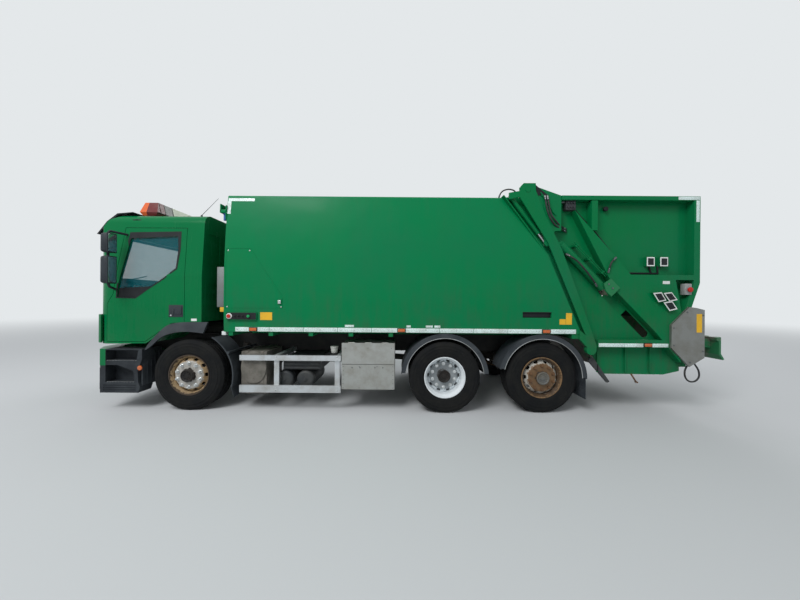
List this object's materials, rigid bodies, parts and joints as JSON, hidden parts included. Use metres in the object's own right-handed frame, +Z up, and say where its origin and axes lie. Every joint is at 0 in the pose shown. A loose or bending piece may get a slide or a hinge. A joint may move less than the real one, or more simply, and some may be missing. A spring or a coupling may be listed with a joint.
{
  "type": "garbage truck",
  "caption": "Rear-loading garbage truck with a tilting cab, lifting tailgate, sliding packer with sweep blade, ejector and bin lifter",
  "frame": {"origin": "on the road, midway between the cab's nose and the end of the bin lifter", "axes": "+X to the rear, the driver's side at -Y, +Z up"},
  "size_m": [9.205, 2.89, 3.2199],
  "materials": {
    "green_paint": "glossy truck enamel, dusty",
    "cab_green": "glossy truck enamel",
    "chassis_black": "semi-matt chassis paint, dusty",
    "engine_grey": "painted casting",
    "tyre_rubber": "worn rubber",
    "wheel_steel": "painted steel wheel with rust",
    "dark_plastic": "grained plastic",
    "aluminium": "mill finish, dirty",
    "stainless": "brushed stainless sheet",
    "window_glass": "tinted glass",
    "seat_fabric": "dark woven fabric",
    "hydraulic_black": "black painted cylinder",
    "beacon_plastic": "amber lens",
    "worn_steel": "green paint worn to steel"
  },
  "bodies": {
    "chassis": {"air_tanks": "chassis_black", "body_front_wall": "green_paint", "body_roof": "green_paint", "body_sides": "green_paint", "chassis_frame": "chassis_black", "drive_axle": "chassis_black", "engine_block": "engine_grey", "front_axle": "chassis_black", "front_bumper": "dark_plastic", "fuel_tank": "aluminium", "mudguards": "dark_plastic", "rear_posts": "green_paint", "side_guards": "aluminium", "silencer": "chassis_black", "subframe": "green_paint", "tag_axle": "chassis_black", "toolbox": "stainless"},
    "cab": {"cab_shell": "cab_green", "windscreen": "window_glass", "sun_visor": "dark_plastic", "light_bar": "beacon_plastic", "arch_flares": "dark_plastic", "seats": "seat_fabric", "dashboard": "dark_plastic"},
    "toolbox_lid": {"toolbox_lid": "stainless"},
    "ejector": {"ejector": "worn_steel"},
    "tailgate": {"tailgate_shell": "green_paint", "tailgate_frame": "green_paint", "hopper_trough": "worn_steel", "rear_beam": "green_paint", "side_covers": "stainless", "slide_cylinders": "hydraulic_black"},
    "packer_carriage": {"packer_carriage": "worn_steel"},
    "sweep_blade": {"sweep_blade": "worn_steel"},
    "lift_barrels": {"lift_barrels": "hydraulic_black"},
    "lift_rods": {"lift_rods": "hydraulic_black"},
    "bin_lifter": {"bin_lifter": "green_paint"},
    "door_left": {"door_left": "cab_green", "door_glass_left": "window_glass", "mirrors_left": "dark_plastic"},
    "knuckle_left": {"knuckle_left": "chassis_black"},
    "wheel_front_left": {"front_tyre_left": "tyre_rubber", "front_rim_left": "wheel_steel"},
    "wheel_tag_left": {"tag_tyre_left": "tyre_rubber", "tag_rim_left": "wheel_steel"},
    "wheel_drive_left": {"drive_tyres_left": "tyre_rubber", "drive_rims_left": "wheel_steel"},
    "door_right": {"door_right": "cab_green", "door_glass_right": "window_glass", "mirrors_right": "dark_plastic"},
    "knuckle_right": {"knuckle_right": "chassis_black"},
    "wheel_front_right": {"front_tyre_right": "tyre_rubber", "front_rim_right": "wheel_steel"},
    "wheel_tag_right": {"tag_tyre_right": "tyre_rubber", "tag_rim_right": "wheel_steel"},
    "wheel_drive_right": {"drive_tyres_right": "tyre_rubber", "drive_rims_right": "wheel_steel"}
  },
  "joints": [
    {"name": "steer_left", "type": "hinge", "parent": "chassis", "child": "knuckle_left", "pos_m": [-3.1725, -0.925, 0.5], "axis": [0, 0, 1], "range_deg": [-38, 38]},
    {"name": "roll_front_left", "type": "hinge", "parent": "knuckle_left", "child": "wheel_front_left", "pos_m": [-3.1725, -1.1, 0.5], "axis": [0, 1, 0], "continuous": true},
    {"name": "roll_drive_left", "type": "hinge", "parent": "chassis", "child": "wheel_drive_left", "pos_m": [0.4275, -1.1, 0.5], "axis": [0, 1, 0], "continuous": true},
    {"name": "roll_tag_left", "type": "hinge", "parent": "chassis", "child": "wheel_tag_left", "pos_m": [1.7975, -1.1, 0.5], "axis": [0, 1, 0], "continuous": true},
    {"name": "steer_right", "type": "hinge", "parent": "chassis", "child": "knuckle_right", "pos_m": [-3.1725, 0.925, 0.5], "axis": [0, 0, 1], "range_deg": [-38, 38]},
    {"name": "roll_front_right", "type": "hinge", "parent": "knuckle_right", "child": "wheel_front_right", "pos_m": [-3.1725, 1.1, 0.5], "axis": [0, 1, 0], "continuous": true},
    {"name": "roll_drive_right", "type": "hinge", "parent": "chassis", "child": "wheel_drive_right", "pos_m": [0.4275, 1.1, 0.5], "axis": [0, 1, 0], "continuous": true},
    {"name": "roll_tag_right", "type": "hinge", "parent": "chassis", "child": "wheel_tag_right", "pos_m": [1.7975, 1.1, 0.5], "axis": [0, 1, 0], "continuous": true},
    {"name": "cab_tilt", "type": "hinge", "parent": "chassis", "child": "cab", "pos_m": [-4.5445, 0, 0.893], "axis": [0, -1, 0], "range_deg": [0, 60]},
    {"name": "door_left_swing", "type": "hinge", "parent": "cab", "child": "door_left", "pos_m": [-4.3345, -1.198, 1.5], "axis": [0, 0, -1], "range_deg": [0, 70]},
    {"name": "door_right_swing", "type": "hinge", "parent": "cab", "child": "door_right", "pos_m": [-4.3345, 1.198, 1.5], "axis": [0, 0, 1], "range_deg": [0, 70]},
    {"name": "toolbox_lid_swing", "type": "hinge", "parent": "chassis", "child": "toolbox_lid", "pos_m": [-0.6725, -1.19, 0.971], "axis": [-1, 0, 0], "range_deg": [0, 95]},
    {"name": "ejector_push", "type": "slide", "parent": "chassis", "child": "ejector", "axis": [1, 0, 0], "range_m": [0, 3.2]},
    {"name": "tailgate_lift", "type": "hinge", "parent": "chassis", "child": "tailgate", "pos_m": [1.5625, 0, 3.13], "axis": [0, -1, 0], "range_deg": [0, 85]},
    {"name": "packer_slide", "type": "slide", "parent": "tailgate", "child": "packer_carriage", "axis": [0.7009, 0, -0.7133], "range_m": [0, 0.8]},
    {"name": "blade_sweep", "type": "hinge", "parent": "packer_carriage", "child": "sweep_blade", "pos_m": [2.41677, 0, 2.0206], "axis": [0, -1, 0], "range_deg": [0, 95]},
    {"name": "lifter_raise", "type": "hinge", "parent": "tailgate", "child": "bin_lifter", "pos_m": [3.9725, 0, 1], "axis": [0, -1, 0], "range_deg": [0, 95]},
    {"name": "lift_barrel_turn", "type": "hinge", "parent": "chassis", "child": "lift_barrels", "pos_m": [1.3515, 0, 3.038], "axis": [0, -1, 0], "range_deg": [0, 70.84]},
    {"name": "lift_rod_run", "type": "slide", "parent": "lift_barrels", "child": "lift_rods", "axis": [0.6105, 0, -0.792], "range_m": [0, 0.2068]}
  ],
  "couplings": [
    {"joint": "steer_right", "follows": "steer_left", "ratio": 1},
    {"joint": "lift_barrel_turn", "follows": "tailgate_lift", "ratio": 0.82751},
    {"joint": "lift_rod_run", "follows": "tailgate_lift", "m_per_rad": 0.13802}
  ]
}
